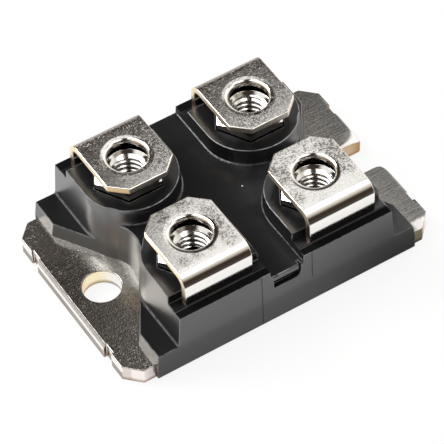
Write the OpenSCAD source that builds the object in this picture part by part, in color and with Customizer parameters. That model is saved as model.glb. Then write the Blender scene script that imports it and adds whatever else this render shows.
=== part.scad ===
// Isolated two-diode power module with four screw terminals.
// The origin is the centre of the baseplate underside, X runs along the length and +Z is up.

/* [Baseplate] */
// Length of the plate, without the sheared tabs at its ends
plate_length = 37.84; // [37:0.02:42]
// Thickness of the plate
plate_thickness = 2; // [1.5:0.1:2.6]
// Length of each cut corner along X
corner_cut_x = 1.66; // [0.5:0.02:2]
// Length of each cut corner along Y
corner_cut_y = 1.7; // [0.5:0.05:2.4]
// Distance from each heat-sink screw to its end of the plate
fixing_inset = 3.82; // [3.4:0.02:4.4]
// Diameter of the round fixing hole
fixing_hole_d = 4.2; // [3.4:0.1:4.6]
// Width of the open fixing slot
fixing_slot_w = 4.2; // [3.4:0.1:4.6]
// Radius of the corners at the mouth of the slot
slot_mouth_r = 0.5; // [0.2:0.05:1]
// Width of the sheared tab at each end
tab_width = 13.8; // [8:0.1:16]
// How far each tab stands out past the end of the plate
tab_reach = 0.13; // [0.05:0.01:0.4]
// Width of the relief notch at each side of a tab
notch_width = 1.3; // [0.5:0.1:1.8]
// Depth of the relief notches
notch_depth = 0.28; // [0.1:0.02:0.5]
// Height of the rolled edge on top of a tab
tab_roll_z = 0.5; // [0.1:0.05:0.8]
// Setback of the rolled edge on top of a tab
tab_roll_x = 0.35; // [0.1:0.05:0.4]

/* [Housing] */
// Width of the housing
body_width = 25.3; // [24:0.1:28]
// Length of the housing where it meets the plate
body_length = 31.9; // [30:0.1:33.5]
// Height of the housing underside above the plate underside
body_clearance = 0.4; // [0.2:0.05:1]
// Thickness of the moulding over the long edges of the plate
side_wrap = 0.6; // [0.4:0.05:1.2]
// Height of the low step at the corners
step_height = 3.8; // [3:0.1:4.4]
// How far the end of the step leans in towards its top
step_lean = 0.25; // [0:0.05:0.4]
// Height of the flat between the towers
centre_height = 7.1; // [6.6:0.1:7.6]
// Height of the shoulder outside each tower
shoulder_height = 8.05; // [7.7:0.05:8.4]
// Width of the shoulder, from the long face
shoulder_width = 2.35; // [2.1:0.05:2.5]
// Height of the tower rims
tower_height = 9.2; // [8.8:0.1:9.8]
// Radius of a tower at its rim
tower_r = 5.35; // [5:0.05:5.6]
// Draft angle of the tower walls
tower_draft = 4.75; // [1:0.25:6]
// Radius of the round recess about each fixing screw, at the plate
recess_r = 3.95; // [3.4:0.05:4.4]
// Draft angle of the recess wall
recess_draft = 6; // [1:0.5:8]
// Angle between each straight recess wall and the X axis
recess_splay = 58.5; // [50:0.5:70]
// Fillet at the foot of the towers, on the centre flat
tower_fillet = 0.12; // [0.06:0.02:0.4]
// Fillet at the foot of the end walls, on the step
end_fillet = 0.2; // [0.1:0.05:0.6]
// Width of the mould gate mark in the long face
gate_width = 3.3; // [2:0.1:3.6]
// Depth of the gate mark's lower edge below the centre flat
gate_height = 1.75; // [1.65:0.05:2]
// Height of the lip left between the gate mark and the centre flat
gate_lip = 0.65; // [0.4:0.05:0.7]
// Width of the gap at one end of the lip
gate_gap = 0.25; // [0.1:0.05:0.4]
// Depth of the gate mark in from the long face
gate_depth = 0.6; // [0.2:0.05:0.8]
// Radius of the rounded lower corner of the gate mark
gate_r = 0.8; // [0.4:0.05:0.85]

/* [Terminals] */
// Distance between terminal screws along X
terminal_pitch_x = 15; // [14.4:0.1:15.6]
// Distance between terminal screws along Y
terminal_pitch_y = 12.7; // [12.2:0.1:13]
// Height of the terminal faces above the plate underside
terminal_height = 12; // [11.8:0.1:13]
// Width of a terminal strip
terminal_width = 8.1; // [7.4:0.1:8.6]
// Thickness of the strip
terminal_thickness = 0.8; // [0.6:0.05:1]
// Distance from the screw axis to the inner end of the strip
terminal_reach = 4.3; // [3.6:0.1:4.6]
// Length of the cut corners along X
terminal_cut_x = 1.8; // [0.8:0.05:2.2]
// Length of the cut corners along Y
terminal_cut_y = 1.7; // [0.8:0.05:2]
// Diameter of the screw hole
terminal_hole_d = 4.3; // [4.1:0.1:4.7]
// Width of the deburred edge of the screw hole
hole_deburr = 0.22; // [0.05:0.01:0.3]
// Inside radius of the bends
bend_r = 0.8; // [0.5:0.05:1]
// Thickness of the moulding outside a terminal leg
leg_cover = 1.05; // [0.8:0.05:1.3]
// Width of the leg and foot inside the housing
foot_width = 4; // [3:0.1:5]
// Height at which the leg narrows
neck_height = 6.6; // [6:0.1:7]
// Length of the foot past its bend
foot_length = 1.8; // [1.2:0.1:2.4]

/* [Nuts] */
// Width of a nut across its flats
nut_flats = 7; // [6.8:0.05:7.1]
// Height of a nut
nut_height = 3.2; // [2.6:0.1:3.4]
// Minor diameter of the thread
thread_minor_d = 3.3; // [3.2:0.02:3.4]
// Major diameter of the thread
thread_major_d = 4; // [3.9:0.05:4.1]
// Gap between a nut at rest and the terminal above it
nut_gap = 1; // [0.8:0.1:1.2]
// Clearance between nut and pocket wall on each side
nut_clearance = 0.12; // [0.05:0.01:0.2]
// Diameter of the screw relief under a nut
relief_d = 5.2; // [4.2:0.1:5.6]
// Depth of the screw relief
relief_depth = 1.2; // [0.6:0.1:1.4]

/* [Inside] */
// Thickness of the solder under the substrate
base_solder_t = 0.15; // [0.08:0.01:0.2]
// Thickness of each copper layer of the substrate
copper_t = 0.3; // [0.2:0.02:0.4]
// Thickness of the ceramic
ceramic_t = 0.63; // [0.38:0.01:0.7]
// Bare rim of the ceramic round its copper
ceramic_rim = 0.5; // [0.3:0.05:0.8]
// Thickness of the solder under dies and terminal feet
joint_solder_t = 0.1; // [0.06:0.01:0.14]
// Gap between neighbouring copper lands
land_gap = 0.8; // [0.6:0.05:1.2]
// Place of the gap between cathode and anode land, from the middle
land_split = -1.4; // [-2:0.1:-1]
// How far the lands reach past the foot along X
land_lip = 0.4; // [0.2:0.05:0.6]
// How far the land ends inside the bend of the foot
land_setback = 0.3; // [0.1:0.05:0.5]
// Side of a square die
die_size = 6; // [4:0.1:6.4]
// Thickness of a die
die_t = 0.35; // [0.2:0.01:0.4]
// Distance from the die to the edge of its land
die_margin = 0.7; // [0.4:0.05:1]
// Diameter of a bond wire
wire_d = 0.38; // [0.25:0.01:0.5]
// Number of bond wires on a die
wire_count = 6; // [3:1:8]
// Distance between bond wires
wire_pitch = 0.9; // [0.6:0.05:0.95]
// Distance from the die edge to the wire on the die
wire_inset = 1; // [0.6:0.1:2]
// Distance from the land edge to the wire on the land
wire_landing = 0.8; // [0.5:0.1:1.5]

/* [Hidden] */
$fn = 96;
hidden_cut = 1;

// Places shared by several pieces
screw_x = terminal_pitch_x / 2;
screw_y = terminal_pitch_y / 2;
half_width = body_width / 2;
plate_width = body_width - 2 * side_wrap;
half_plate = plate_length / 2;
fixing_x = half_plate - fixing_inset;
tab_x = half_plate + tab_reach;
leg_out = half_width - leg_cover;
leg_in = leg_out - terminal_thickness;
bend_y = leg_in - bend_r;
foot_end = bend_y - foot_length;
terminal_under = terminal_height - terminal_thickness;

// Levels of the stack, from the plate up
copper_z = plate_thickness + base_solder_t;
ceramic_z = copper_z + copper_t;
land_z = ceramic_z + ceramic_t;
joint_z = land_z + copper_t;
foot_z = joint_z + joint_solder_t;
wire_z = foot_z + die_t;

// Nuts
nut_seat = terminal_under - nut_gap - nut_height;
hex_corner = 1 / cos(30);
nut_chamfer = nut_flats * (hex_corner - 1) / 2 * tan(30);

// Lands: each diode has one long cathode land and one anode land, split along Y
land_out = bend_y - land_setback;
land_end = screw_x + foot_width / 2 + land_lip;
land_w = land_end - land_gap / 2;
land_mid = land_gap / 2 + land_w / 2;
cathode_in = land_split + land_gap / 2;
anode_in = land_split - land_gap / 2;
die_y = cathode_in + die_margin;
wire_die_y = die_y + wire_inset;
wire_land_y = anode_in - wire_landing;
wire_bow = (wire_die_y - wire_land_y) / 2;

// Tower walls widen downwards by their draft
function tower_r_at(z) = tower_r + (tower_height - z) * tan(tower_draft);
function recess_r_at(z) = recess_r + (z - plate_thickness) * tan(recess_draft);

// The strip between two towers reaches the point where tower and recess come nearest
nearest = sqrt(pow(fixing_x - screw_x, 2) + pow(screw_y, 2));
waist_r = tower_r_at(centre_height);
waist_x = screw_x + waist_r * (fixing_x - screw_x) / nearest;
waist_y = screw_y - waist_r * screw_y / nearest;

// One name for each corner, as signs of X and Y
corners = [[-1, 1], [-1, -1], [1, 1], [1, -1]];
nickel = "silver";
copper = "peru";
compound = [0.13, 0.13, 0.14];
solder = "gray";

// Box from its low corner to its high corner
module span(low, high) {
    translate(low)
        cube(high - low);
}

// Profile in Y and Z, extruded along X about the YZ plane
module along_x(length) {
    rotate([90, 0, 90])
        linear_extrude(length, center = true)
            children();
}

// Profile in X and Z, extruded along Y between two places
module along_y(start, end) {
    translate([0, end, 0])
        rotate([90, 0, 0])
            linear_extrude(end - start)
                children();
}

// Places its child at one terminal screw, turned so that +Y points out of the housing
module at_corner(corner) {
    translate([corner[0] * screw_x, 0, 0])
        rotate([0, 0, corner[1] > 0 ? 0 : 180])
            children();
}

// The first diode lies at -X, the second is turned half round
module at_diode(number) {
    rotate([0, 0, number == 1 ? 0 : 180])
        translate([-land_mid, 0, 0])
            children();
}

// Outline of the plate without hole and slot
module plate_outline() {
    polygon([
        [half_plate, plate_width / 2 - corner_cut_y], [half_plate - corner_cut_x, plate_width / 2],
        [corner_cut_x - half_plate, plate_width / 2], [-half_plate, plate_width / 2 - corner_cut_y],
        [-half_plate, corner_cut_y - plate_width / 2], [corner_cut_x - half_plate, -plate_width / 2],
        [half_plate - corner_cut_x, -plate_width / 2], [half_plate, corner_cut_y - plate_width / 2]
    ]);
}

// Tab left at an end of the plate by shearing, with its rolled upper edge
module shear_tab() {
    along_y(-tab_width / 2, tab_width / 2)
        polygon([
            [half_plate - notch_depth - tab_roll_x, 0], [tab_x, 0],
            [tab_x, plate_thickness - tab_roll_z], [tab_x - tab_roll_x, plate_thickness],
            [half_plate - notch_depth - tab_roll_x, plate_thickness]
        ]);
}

// End of the plate that the tab and its two notches take the place of
module tab_room() {
    span([half_plate - notch_depth, -tab_width / 2 - notch_width, -hidden_cut],
        [tab_x + hidden_cut, tab_width / 2 + notch_width, plate_thickness + hidden_cut]);
}

// Open slot with round mouth corners
module fixing_slot() {
    mouth = fixing_slot_w / 2 + slot_mouth_r;
    translate([fixing_x, 0, 0])
        circle(d = fixing_slot_w);
    translate([fixing_x, -fixing_slot_w / 2])
        square([plate_length, fixing_slot_w]);
    difference() {
        translate([tab_x - slot_mouth_r, -mouth])
            square([plate_length, 2 * mouth]);
        for (side = [-1, 1])
            translate([tab_x - slot_mouth_r, side * mouth])
                circle(slot_mouth_r);
    }
}

module baseplate() {
    color(nickel)
        difference() {
            union() {
                difference() {
                    linear_extrude(plate_thickness)
                        plate_outline();
                    tab_room();
                    mirror([1, 0, 0])
                        tab_room();
                }
                shear_tab();
                mirror([1, 0, 0])
                    shear_tab();
            }
            translate([-fixing_x, 0, -hidden_cut])
                cylinder(d = fixing_hole_d, h = plate_thickness + 2 * hidden_cut);
            translate([0, 0, -hidden_cut])
                linear_extrude(plate_thickness + 2 * hidden_cut)
                    fixing_slot();
        }
}

// Half round about the screw axis, on the side of the middle
module half_round() {
    translate([0, screw_y, 0])
        rotate([0, 0, 180])
            rotate_extrude(angle = 180)
                children();
}

// One drafted tower, round towards the middle and straight to the long face
module tower() {
    foot_r = tower_r_at(plate_thickness);
    half_round()
        polygon([[0, plate_thickness], [foot_r, plate_thickness], [tower_r, tower_height], [0, tower_height]]);
    along_y(screw_y, half_width)
        polygon([
            [-foot_r, plate_thickness], [foot_r, plate_thickness],
            [tower_r, tower_height], [-tower_r, tower_height]
        ]);
}

// Section of a concave fillet at the foot of a tower wall
module fillet_section(level, fillet) {
    wall = tower_r_at(level);
    difference() {
        translate([wall - fillet, level - fillet])
            square(2 * fillet);
        translate([wall + fillet, level + fillet])
            circle(fillet);
    }
}

// Fillet round the foot of a tower, where it stands on a flat at the given level
module tower_foot(level, fillet) {
    half_round()
        fillet_section(level, fillet);
    along_y(screw_y, half_width)
        for (side = [0, 1])
            mirror([side, 0])
                fillet_section(level, fillet);
}

// Room over the centre flat: the strip between the towers and the waist towards each end
module centre_room(low, high) {
    span([-screw_x, -half_width, low], [screw_x, half_width, high]);
    span([-waist_x, -waist_y, low], [waist_x, waist_y, high]);
}

// Low block over the plate with leaning ends
module step_block() {
    foot_x = body_length / 2;
    along_y(-half_width, half_width)
        polygon([
            [-foot_x, body_clearance], [foot_x, body_clearance], [foot_x, plate_thickness],
            [foot_x - step_lean, step_height], [step_lean - foot_x, step_height], [-foot_x, plate_thickness]
        ]);
}

// Drafted round recess about a fixing screw
module round_recess() {
    top_z = tower_height + hidden_cut;
    translate([fixing_x, 0, plate_thickness])
        cylinder(r1 = recess_r, r2 = recess_r_at(top_z), h = top_z - plate_thickness);
}

// Room between the two splayed walls that touch the round recess and open it to the end
module splayed_room() {
    depth = tower_height + hidden_cut - plate_thickness;
    touch = 90 - recess_splay;
    translate([fixing_x, 0, plate_thickness])
        intersection() {
            leaning_room(180 - touch, recess_r, recess_draft);
            leaning_room(180 + touch, recess_r, recess_draft);
            leaning_room(0, recess_r * cos(touch), atan(cos(touch) * tan(recess_draft)), 1);
            span([-body_length, -body_length, 0], [body_length, body_length, depth]);
        }
}

// Half space on one side of a leaning plane that stands at the given distance and bearing
module leaning_room(bearing, distance, lean, beyond = 0) {
    side = 4 * body_length;
    rotate([0, 0, bearing])
        mirror([beyond, 0, 0])
            translate([distance, 0, 0])
                rotate([0, lean, 0])
                    translate([-side, -side / 2, -side / 2])
                        cube(side);
}

// Mark left by the mould gate in the long face: one round corner, a lip above and a gap at its end
module gate_mark() {
    low = centre_height - gate_height;
    height = gate_height - gate_lip;
    along_y(-half_width - hidden_cut, gate_depth - half_width) {
        translate([-gate_width / 2, low])
            square([gate_width - gate_r, height]);
        translate([-gate_width / 2, low + gate_r])
            square([gate_width, height - gate_r]);
        translate([gate_width / 2 - gate_r, low + gate_r])
            intersection() {
                circle(gate_r);
                quadrant(1, -1, gate_r);
            }
        translate([gate_width / 2 - gate_gap, low + gate_r])
            square([gate_gap, gate_height - gate_r + hidden_cut]);
    }
}

// Hexagonal pocket for a nut, with the relief for the screw point
module nut_pocket() {
    pocket_r = (nut_flats / 2 + nut_clearance) * hex_corner;
    translate([0, screw_y, nut_seat])
        cylinder(r = pocket_r, h = tower_height + hidden_cut - nut_seat, $fn = 6);
    translate([0, screw_y, nut_seat - relief_depth])
        cylinder(d = relief_d, h = relief_depth + hidden_cut);
}

// Step and centre strip, opened at both ends by the splayed walls
module low_block() {
    difference() {
        union() {
            step_block();
            centre_room(step_height - end_fillet, centre_height);
            for (corner = corners)
                at_corner(corner)
                    tower_foot(step_height, end_fillet);
        }
        splayed_room();
        mirror([1, 0, 0])
            splayed_room();
    }
}

// Housing before the pieces inside it are taken out
module housing_block() {
    difference() {
        union() {
            low_block();
            for (corner = corners)
                at_corner(corner)
                    tower();
            intersection() {
                centre_room(centre_height - tower_fillet, tower_height);
                for (corner = corners)
                    at_corner(corner)
                        tower_foot(centre_height, tower_fillet);
            }
        }
        for (corner = corners)
            at_corner(corner)
                span([-2 * tower_r, half_width - shoulder_width, shoulder_height],
                    [2 * tower_r, half_width + hidden_cut, tower_height + hidden_cut]);
        round_recess();
        mirror([1, 0, 0])
            round_recess();
    }
}

module moulded_body() {
    color(compound)
        difference() {
            housing_block();
            gate_mark();
            translate([0, 0, -hidden_cut])
                linear_extrude(plate_thickness + hidden_cut)
                    plate_outline();
            for (corner = corners)
                at_corner(corner)
                    nut_pocket();
            substrate_layers();
            for (corner = corners)
                terminal(corner);
            terminal_solder();
            for (number = [1, 2]) {
                cathode_pad(number);
                anode_pad(number);
                die_solder(number);
                schottky_die(number);
                bond_wires(number);
            }
        }
}

// Quarter of a bend in the strip, about the origin, in the quadrant of the given signs
module bend_quarter(sign_y, sign_z) {
    outer_r = bend_r + terminal_thickness;
    intersection() {
        difference() {
            circle(outer_r);
            circle(bend_r);
        }
        quadrant(sign_y, sign_z, outer_r);
    }
}

// Square that covers one quadrant
module quadrant(sign_y, sign_z, side) {
    translate([sign_y > 0 ? 0 : -side, sign_z > 0 ? 0 : -side])
        square(side);
}

// Side view of the folded strip above the neck: top plate, bend and leg
module strip_upper() {
    translate([screw_y - terminal_reach, terminal_under])
        square([bend_y - screw_y + terminal_reach, terminal_thickness]);
    translate([bend_y, terminal_under - bend_r])
        bend_quarter(1, 1);
    translate([leg_in, neck_height])
        square([terminal_thickness, terminal_under - bend_r - neck_height]);
}

// Side view of the narrow part: leg, lower bend and foot
module strip_lower() {
    bend_z = foot_z + terminal_thickness + bend_r;
    translate([leg_in, bend_z])
        square([terminal_thickness, neck_height - bend_z]);
    translate([bend_y, bend_z])
        bend_quarter(1, -1);
    translate([foot_end, foot_z])
        square([foot_length, terminal_thickness]);
}

// Plan of the top plate with its two cut corners
module strip_plan() {
    edge = terminal_width / 2;
    end = screw_y - terminal_reach;
    polygon([
        [-edge, half_width], [-edge, end + terminal_cut_y], [terminal_cut_x - edge, end],
        [edge - terminal_cut_x, end], [edge, end + terminal_cut_y], [edge, half_width]
    ]);
}

// One folded strip with its screw hole
module terminal(corner) {
    color(nickel)
        at_corner(corner)
            difference() {
                union() {
                    intersection() {
                        along_x(terminal_width)
                            strip_upper();
                        linear_extrude(terminal_height + hidden_cut)
                            strip_plan();
                    }
                    along_x(foot_width)
                        strip_lower();
                }
                translate([0, screw_y, terminal_under - hidden_cut])
                    cylinder(d = terminal_hole_d, h = terminal_thickness + 2 * hidden_cut);
                translate([0, screw_y, terminal_height - hole_deburr])
                    cylinder(d1 = terminal_hole_d, d2 = terminal_hole_d + 2 * hole_deburr, h = hole_deburr);
            }
}

module terminal_1() {
    terminal(corners[0]);
}

module terminal_2() {
    terminal(corners[1]);
}

module terminal_3() {
    terminal(corners[2]);
}

module terminal_4() {
    terminal(corners[3]);
}

// Hexagon nut with chamfered corners and thread mouths
module nut() {
    corner_r = nut_flats / 2 * hex_corner;
    mouth = (thread_major_d - thread_minor_d) / 2;
    difference() {
        intersection() {
            cylinder(r = corner_r, h = nut_height, $fn = 6);
            rotate_extrude()
                polygon([
                    [0, 0], [nut_flats / 2, 0], [corner_r, nut_chamfer],
                    [corner_r, nut_height - nut_chamfer], [nut_flats / 2, nut_height], [0, nut_height]
                ]);
        }
        translate([0, 0, -hidden_cut])
            cylinder(d = thread_minor_d, h = nut_height + 2 * hidden_cut);
        cylinder(d1 = thread_major_d, d2 = thread_minor_d, h = mouth);
        translate([0, 0, nut_height - mouth])
            cylinder(d1 = thread_minor_d, d2 = thread_major_d, h = mouth);
    }
}

module terminal_nuts() {
    color(nickel)
        for (corner = corners)
            at_corner(corner)
                translate([0, screw_y, nut_seat])
                    nut();
}

// Sheet centred in plan, from a level upwards
module layer(length, width, level, thickness) {
    span([-length / 2, -width / 2, level], [length / 2, width / 2, level + thickness]);
}

module base_solder() {
    color(solder)
        layer(2 * land_end, 2 * land_out, plate_thickness, base_solder_t);
}

module substrate_bottom_copper() {
    color(copper)
        layer(2 * land_end, 2 * land_out, copper_z, copper_t);
}

module ceramic_substrate() {
    color("ivory")
        layer(2 * (land_end + ceramic_rim), 2 * (land_out + ceramic_rim), ceramic_z, ceramic_t);
}

// Full-size layers under the lands
module substrate_layers() {
    base_solder();
    substrate_bottom_copper();
    ceramic_substrate();
}

// Land that carries a die and one terminal foot
module cathode_pad(number) {
    color(copper)
        at_diode(number)
            span([-land_w / 2, cathode_in, land_z], [land_w / 2, land_out, joint_z]);
}

// Land that takes the bond wires and the other terminal foot
module anode_pad(number) {
    color(copper)
        at_diode(number)
            span([-land_w / 2, -land_out, land_z], [land_w / 2, anode_in, joint_z]);
}

module die_solder(number) {
    color(solder)
        at_diode(number)
            span([-die_size / 2, die_y, joint_z], [die_size / 2, die_y + die_size, foot_z]);
}

module schottky_die(number) {
    color("dimgray")
        at_diode(number)
            span([-die_size / 2, die_y, foot_z], [die_size / 2, die_y + die_size, wire_z]);
}

// Half-round loops from the die to the anode land
module bond_wires(number) {
    color("gainsboro")
        at_diode(number)
            for (i = [0 : wire_count - 1])
                translate([(i - (wire_count - 1) / 2) * wire_pitch, wire_land_y + wire_bow, wire_z]) {
                    rotate([90, 0, 90])
                        rotate_extrude(angle = 180)
                            translate([wire_bow, 0])
                                circle(d = wire_d, $fn = 24);
                    translate([0, -wire_bow, joint_z - wire_z])
                        cylinder(d = wire_d, h = wire_z - joint_z, $fn = 24);
                }
}

module cathode_pad_1() {
    cathode_pad(1);
}

module anode_pad_1() {
    anode_pad(1);
}

module cathode_pad_2() {
    cathode_pad(2);
}

module anode_pad_2() {
    anode_pad(2);
}

module die_solder_1() {
    die_solder(1);
}

module die_solder_2() {
    die_solder(2);
}

module schottky_die_1() {
    schottky_die(1);
}

module schottky_die_2() {
    schottky_die(2);
}

module bond_wires_1() {
    bond_wires(1);
}

module bond_wires_2() {
    bond_wires(2);
}

// Joint under each terminal foot, where foot and land overlap
module terminal_solder() {
    color(solder)
        for (corner = corners)
            at_corner(corner)
                span([-foot_width / 2, foot_end, joint_z], [foot_width / 2, land_out, foot_z]);
}

baseplate();
moulded_body();
terminal_1();
terminal_2();
terminal_3();
terminal_4();
terminal_nuts();
base_solder();
substrate_bottom_copper();
ceramic_substrate();
cathode_pad_1();
anode_pad_1();
cathode_pad_2();
anode_pad_2();
die_solder_1();
die_solder_2();
schottky_die_1();
schottky_die_2();
bond_wires_1();
bond_wires_2();
terminal_solder();
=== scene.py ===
"""Dressed model of an isolated diode power module with four screw terminals on a plated base."""

import logging
import math
from dataclasses import dataclass
from enum import Enum
from functools import reduce
from typing import Callable, Iterator, Mapping, NamedTuple, Optional, Sequence, Union

import bmesh
import bpy
from mathutils import Matrix, Quaternion, Vector


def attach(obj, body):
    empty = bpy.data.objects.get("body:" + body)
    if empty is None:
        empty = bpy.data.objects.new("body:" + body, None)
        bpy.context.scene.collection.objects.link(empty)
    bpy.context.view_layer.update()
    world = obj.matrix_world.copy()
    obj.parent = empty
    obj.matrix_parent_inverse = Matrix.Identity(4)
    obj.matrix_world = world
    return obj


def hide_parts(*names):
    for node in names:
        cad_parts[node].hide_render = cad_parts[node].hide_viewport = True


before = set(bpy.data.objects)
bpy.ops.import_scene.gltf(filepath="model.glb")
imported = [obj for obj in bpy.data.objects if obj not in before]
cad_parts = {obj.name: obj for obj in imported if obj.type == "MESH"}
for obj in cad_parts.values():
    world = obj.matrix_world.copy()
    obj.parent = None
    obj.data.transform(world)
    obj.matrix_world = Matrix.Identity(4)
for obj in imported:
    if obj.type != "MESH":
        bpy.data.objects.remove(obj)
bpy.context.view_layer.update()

LOG = logging.getLogger("module")
MM = 0.001
BODY = "root"
SCREW_X, SCREW_Y = 7.5, 6.35
Colour = Place = tuple[float, float, float]
Sockets = Mapping[Union[int, str], object]


def joined(operation: str, swapped: bool = False, standard: float = 0.0) -> Callable[..., "Signal"]:
    """Make an operator of signals that adds a Math node.

    Args:
        operation: Blender's name of the operation.
        swapped: Whether the signal comes second.
        standard: The other value where none is given.

    Returns:
        The operator, as a method.
    """
    def method(self: "Signal", other: object = standard) -> "Signal":
        """Join two values in a Math node."""
        pair = (other, self) if swapped else (self, other)
        return self.graph.node("Math", {"operation": operation}, dict(enumerate(pair)))

    return method


@dataclass(frozen=True)
class Signal:
    """A shader value that takes part in Python sums; the sign ~ stands for one minus the value."""

    graph: "Graph"
    socket: Optional[bpy.types.NodeSocket]

    __add__ = __radd__ = joined("ADD")
    __sub__, __rsub__ = joined("SUBTRACT"), joined("SUBTRACT", True)
    __neg__, __invert__ = joined("SUBTRACT", True), joined("SUBTRACT", True, 1.0)
    __mul__ = __rmul__ = joined("MULTIPLY")
    __truediv__, __pow__, __abs__ = joined("DIVIDE"), joined("POWER"), joined("ABSOLUTE")
    at_least, at_most = joined("MAXIMUM"), joined("MINIMUM")

    def span(self, other: "Signal") -> "Signal":
        """Length of the diagonal of two sides."""
        return (self * self + other * other) ** 0.5

    def rise(self, low: float, high: float) -> "Signal":
        """Smooth step from 0 where the value is low to 1 where it is high."""
        return self.graph.node("MapRange", {"interpolation_type": "SMOOTHSTEP"}, {0: self, 1: low, 2: high})

    def past(self, low: float, high: float) -> "Signal":
        """Smooth step between two places, both in millimetres."""
        return self.rise(low * MM, high * MM)

    def band(self, centre: float, half: float, soft: float) -> "Signal":
        """One within half a width of a centre and zero past a soft edge, all in millimetres."""
        return ~abs(self - centre * MM).past(half, half + soft)


class Spot(NamedTuple):
    """A point of a surface as signals: its coordinates in metres and its true normal."""

    place: Signal
    x: Signal
    y: Signal
    z: Signal
    nx: Signal
    ny: Signal
    nz: Signal

    def right(self) -> Signal:
        """Mask of the half with the slot."""
        return self.x.past(-1.0, 1.0)

    def front(self) -> Signal:
        """Mask of the half with the gate mark."""
        return ~self.y.past(-1.0, 1.0)

    def from_screw(self) -> tuple[Signal, Signal]:
        """Way outward along X from the screw axis of the point's own quarter, and distance from that axis."""
        outward = abs(self.x) - SCREW_X * MM
        return outward, outward.span(abs(self.y) - SCREW_Y * MM)


class Graph:
    """Nodes of one material or world, each made from its type, settings and sockets."""

    def __init__(self, tree: bpy.types.NodeTree) -> None:
        """Start on an empty tree."""
        self.tree = tree
        self.tree.nodes.clear()

    def node(
        self,
        kind: str,
        settings: Optional[Mapping[str, object]] = None,
        inputs: Optional[Sockets] = None,
        output: Union[int, str] = 0,
    ) -> Signal:
        """Add a node and take one of its outputs.

        Args:
            kind: Type of the node, without Blender's prefix.
            settings: Properties of the node.
            inputs: Values or signals of its input sockets, by name or number.
            output: Name or number of the output.

        Returns:
            The output as a signal; an empty one from a node that has no output.
        """
        made = self.tree.nodes.new("ShaderNode" + kind)
        for name, value in (settings or {}).items():
            setattr(made, name, value)
        for key, value in (inputs or {}).items():
            socket = made.inputs[key]
            if isinstance(value, Signal):
                self.tree.links.new(value.socket, socket)
            else:
                socket.default_value = (*value, 1.0) if socket.type == "RGBA" else value
        return Signal(self, made.outputs[output] if len(made.outputs) else None)

    def place(self) -> Signal:
        """Object coordinates, in metres."""
        return self.node("TexCoord", output="Object")

    def normal(self) -> Signal:
        """The smoothed surface normal."""
        return self.node("NewGeometry", output="Normal")

    def parts(self, vector: Signal) -> tuple[Signal, Signal, Signal]:
        """X, Y and Z of a vector as three signals."""
        first = self.node("SeparateXYZ", None, {0: vector})
        return tuple(Signal(self, socket) for socket in first.socket.node.outputs)

    def spot(self) -> Spot:
        """The point of the surface that is shaded."""
        place, facing = self.place(), self.node("NewGeometry", output="True Normal")
        return Spot(place, *self.parts(place), *self.parts(facing))

    def mark(self, name: str) -> Signal:
        """A mark carried by the faces of a mesh, 0 where there is none."""
        return self.node("Attribute", {"attribute_name": name}, output="Fac")

    def stretched(self, vector: Signal, scale: Place) -> Signal:
        """Coordinates scaled along each axis."""
        return self.node("Mapping", None, {0: vector, 3: scale})

    def noise(self, vector: Signal, scale: float, detail: float = 2.0, roughness: float = 0.5) -> Signal:
        """Noise between 0 and 1: its cells in a metre, its finer octaves and their weight."""
        values = {"Vector": vector, "Scale": scale, "Detail": detail, "Roughness": roughness}
        return self.node("TexNoise", None, values)

    def cells(self, vector: Signal, scale: float) -> Signal:
        """Small cells, so many in a metre, each with its own random value between 0 and 1."""
        colour = self.node("TexVoronoi", None, {"Vector": vector, "Scale": scale}, "Color")
        return self.parts(colour)[0]

    def mix(self, share: object, first: object, second: object) -> Signal:
        """Blend two colours, given the share of the second."""
        settings = {"data_type": "RGBA", "clamp_factor": True}
        return self.node("Mix", settings, {0: share, 6: first, 7: second}, 2)

    def layers(self, colour: object, *above: tuple[object, object]) -> Signal:
        """A colour with others laid over it in turn, each given with its share."""
        return reduce(lambda below, layer: self.mix(layer[0], below, layer[1]), above, colour)

    def bump(self, height: Signal, rise: float, below: Optional[Signal] = None) -> Signal:
        """Normal of a fine relief that rises by so many millimetres, over a coarser one."""
        over = {} if below is None else {"Normal": below}
        return self.node("Bump", None, {"Height": height, "Distance": rise * MM, **over})

    def surface(self, sockets: Sockets, matt: Optional[Signal] = None) -> None:
        """Close a material with one principled shader.

        Args:
            sockets: Values or links of the shader's inputs.
            matt: Share of the surface that gets a painted shade, matt and nearly black.
        """
        shader = self.node("BsdfPrincipled", None, sockets)
        if matt is not None:
            # nearly black diffuse for a painted shade
            painted_shade_black = self.node("BsdfDiffuse", None, {"Color": (0.004, 0.004, 0.004)})
            shader = self.node("MixShader", None, {0: matt, 1: shader, 2: painted_shade_black})
        self.node("OutputMaterial", None, {"Surface": shader})


@dataclass(frozen=True)
class Finish:
    """A named surface finish; each kind of finish paints its own graph."""

    name: str

    def paint(self, graph: Graph) -> None:
        """Add the finish's nodes."""
        raise NotImplementedError

    def material(self) -> bpy.types.Material:
        """The finish as a Blender material, made once.

        Returns:
            The material.
        """
        found = bpy.data.materials.get(self.name)
        if found is None:
            found = bpy.data.materials.new(self.name)
            found.use_nodes = True
            self.paint(Graph(found.node_tree))
        return found


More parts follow.
